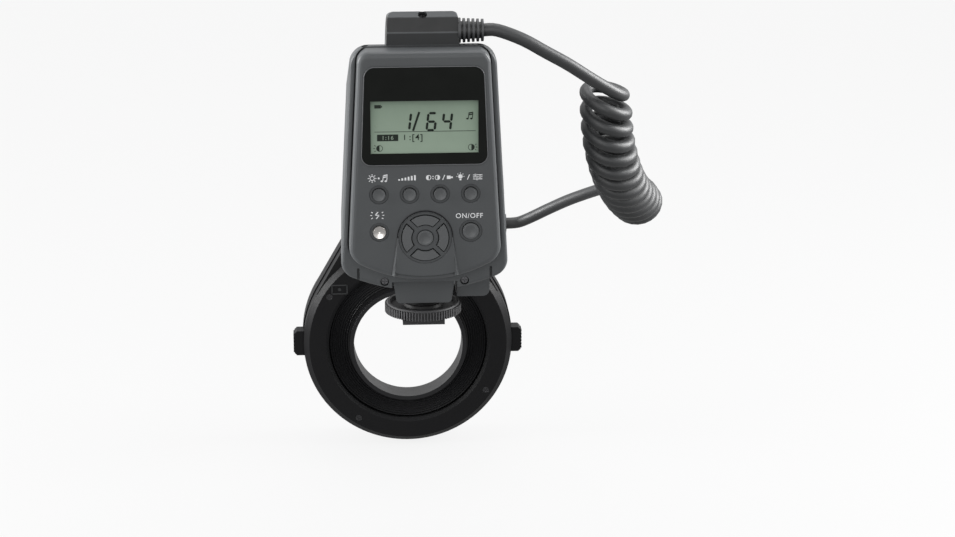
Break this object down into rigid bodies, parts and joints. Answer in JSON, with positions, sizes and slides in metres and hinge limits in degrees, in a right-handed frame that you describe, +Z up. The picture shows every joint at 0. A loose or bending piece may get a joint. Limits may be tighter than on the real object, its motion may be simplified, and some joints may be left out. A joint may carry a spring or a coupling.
{
  "type": "macro ring flash",
  "caption": "Close-up ring flash: a shoe-mounted control unit with display and keys, joined by a curly cord to a ring-shaped head that clips to a lens adapter.",
  "frame": {"origin": "centre of the shoe foot's sole", "axes": "+Z up, the display faces -Y, the ring head's light leaves along +Y, which is also the way the foot slides into a shoe"},
  "size_m": [0.1752, 0.1769, 0.2465],
  "materials": {
    "case_plastic": "matte moulded dark grey with a fine grain",
    "key_plastic": "satin dark grey",
    "silver_key": "satin silver",
    "window_plastic": "gloss black",
    "display_glass": "grey-green liquid crystal display",
    "board": "green circuit board",
    "inner_plastic": "plain black",
    "contact_brass": "bright",
    "cell_steel": "plain sleeve",
    "screw_steel": "bright",
    "black_screw": "black screws",
    "catch_plastic": "ribbed black",
    "relief_rubber": "ribbed, satin",
    "shoe_plastic": "satin black",
    "ring_plastic": "satin black with a fine grain",
    "adapter_metal": "black anodised",
    "diffuser_plastic": "frosted white",
    "reflector_metal": "polished",
    "tube_glass": "clear glass shown frosted",
    "lamp_lens": "clear lens",
    "cord_rubber": "satin dark grey"
  },
  "bodies": {
    "unit": {"front_case": "case_plastic", "rear_cover": "case_plastic", "display_window": "window_plastic", "lcd_panel": "display_glass", "main_board": "board", "key_switches": "inner_plastic", "flash_capacitor": "inner_plastic", "battery_holder": "inner_plastic", "battery_contacts": "contact_brass", "battery_cells": "cell_steel", "door_hinge_pin": "screw_steel", "outlet_cover": "case_plastic", "outlet_screw": "black_screw", "upper_strain_relief": "relief_rubber", "case_screws": "screw_steel", "foot_pedestal": "case_plastic", "shoe_foot": "shoe_plastic", "ring_rear_case": "ring_plastic", "ring_front_case": "ring_plastic", "left_diffuser": "diffuser_plastic", "right_diffuser": "diffuser_plastic", "left_reflector": "reflector_metal", "right_reflector": "reflector_metal", "left_flash_tube": "tube_glass", "right_flash_tube": "tube_glass", "top_focus_lamp": "lamp_lens", "bottom_focus_lamp": "lamp_lens", "ring_board": "board", "left_release_spring": "screw_steel", "right_release_spring": "screw_steel", "ring_screws": "black_screw", "lower_strain_relief": "relief_rubber", "cord_upper_lead": "cord_rubber", "cord_coil": "cord_rubber", "cord_lower_lead": "cord_rubber"},
    "function_key_1": {"function_key_1": "key_plastic"},
    "function_key_2": {"function_key_2": "key_plastic"},
    "function_key_3": {"function_key_3": "key_plastic"},
    "function_key_4": {"function_key_4": "key_plastic"},
    "pilot_key": {"pilot_key": "silver_key"},
    "power_key": {"power_key": "key_plastic"},
    "up_key": {"up_key": "key_plastic"},
    "left_key": {"left_key": "key_plastic"},
    "down_key": {"down_key": "key_plastic"},
    "right_key": {"right_key": "key_plastic"},
    "set_key": {"set_key": "key_plastic"},
    "shoe_contacts": {"shoe_contacts": "contact_brass"},
    "clamp_plate": {"clamp_plate": "screw_steel", "lock_pin": "screw_steel"},
    "lock_wheel": {"lock_wheel": "shoe_plastic"},
    "battery_door": {"battery_door": "case_plastic"},
    "door_catch": {"door_catch": "catch_plastic"},
    "left_release": {"left_release": "ring_plastic"},
    "right_release": {"right_release": "ring_plastic"},
    "lens_adapter": {"lens_adapter": "adapter_metal"}
  },
  "joints": [
    {"name": "function_key_1_press", "type": "slide", "parent": "unit", "child": "function_key_1", "axis": [0, 1, 0], "range_m": [0, 0.0005], "stiffness_N_per_m": 200},
    {"name": "function_key_2_press", "type": "slide", "parent": "unit", "child": "function_key_2", "axis": [0, 1, 0], "range_m": [0, 0.0005], "stiffness_N_per_m": 200},
    {"name": "function_key_3_press", "type": "slide", "parent": "unit", "child": "function_key_3", "axis": [0, 1, 0], "range_m": [0, 0.0005], "stiffness_N_per_m": 200},
    {"name": "function_key_4_press", "type": "slide", "parent": "unit", "child": "function_key_4", "axis": [0, 1, 0], "range_m": [0, 0.0005], "stiffness_N_per_m": 200},
    {"name": "pilot_key_press", "type": "slide", "parent": "unit", "child": "pilot_key", "axis": [0, 1, 0], "range_m": [0, 0.0005], "stiffness_N_per_m": 200},
    {"name": "power_key_press", "type": "slide", "parent": "unit", "child": "power_key", "axis": [0, 1, 0], "range_m": [0, 0.0005], "stiffness_N_per_m": 200},
    {"name": "up_key_press", "type": "slide", "parent": "unit", "child": "up_key", "axis": [0, 1, 0], "range_m": [0, 0.0005], "stiffness_N_per_m": 200},
    {"name": "left_key_press", "type": "slide", "parent": "unit", "child": "left_key", "axis": [0, 1, 0], "range_m": [0, 0.0005], "stiffness_N_per_m": 200},
    {"name": "down_key_press", "type": "slide", "parent": "unit", "child": "down_key", "axis": [0, 1, 0], "range_m": [0, 0.0005], "stiffness_N_per_m": 200},
    {"name": "right_key_press", "type": "slide", "parent": "unit", "child": "right_key", "axis": [0, 1, 0], "range_m": [0, 0.0005], "stiffness_N_per_m": 200},
    {"name": "set_key_press", "type": "slide", "parent": "unit", "child": "set_key", "axis": [0, 1, 0], "range_m": [0, 0.0005], "stiffness_N_per_m": 200},
    {"name": "shoe_contacts_press", "type": "slide", "parent": "unit", "child": "shoe_contacts", "axis": [0, 0, 1], "range_m": [0, 0.0005], "stiffness_N_per_m": 200},
    {"name": "lock_wheel_turn", "type": "hinge", "parent": "clamp_plate", "child": "lock_wheel", "pos_m": [0, 0, 0.006], "axis": [0, 0, 1], "range_deg": [0, 576]},
    {"name": "clamp_plate_rise", "type": "slide", "parent": "unit", "child": "clamp_plate", "axis": [0, 0, 1], "range_m": [0, 0.0016]},
    {"name": "battery_door_swing", "type": "hinge", "parent": "unit", "child": "battery_door", "pos_m": [0.03545, 0.016, 0.02393], "axis": [-0.0552, 0, 0.9985], "range_deg": [0, 88]},
    {"name": "door_catch_slide", "type": "slide", "parent": "battery_door", "child": "door_catch", "axis": [0, 1, 0], "range_m": [0, 0.003]},
    {"name": "left_release_press", "type": "slide", "parent": "unit", "child": "left_release", "axis": [1, 0, 0], "range_m": [0, 0.002], "stiffness_N_per_m": 300, "deforming": ["left_release_spring"]},
    {"name": "right_release_press", "type": "slide", "parent": "unit", "child": "right_release", "axis": [-1, 0, 0], "range_m": [0, 0.002], "stiffness_N_per_m": 300, "deforming": ["right_release_spring"]},
    {"name": "lens_adapter_turn", "type": "hinge", "parent": "unit", "child": "lens_adapter", "pos_m": [-0.003, 0.12, -0.052], "axis": [0, 1, 0], "continuous": true}
  ],
  "couplings": [
    {"joint": "lock_wheel_turn", "follows": "clamp_plate_rise", "rad_per_m": 6283.2}
  ]
}
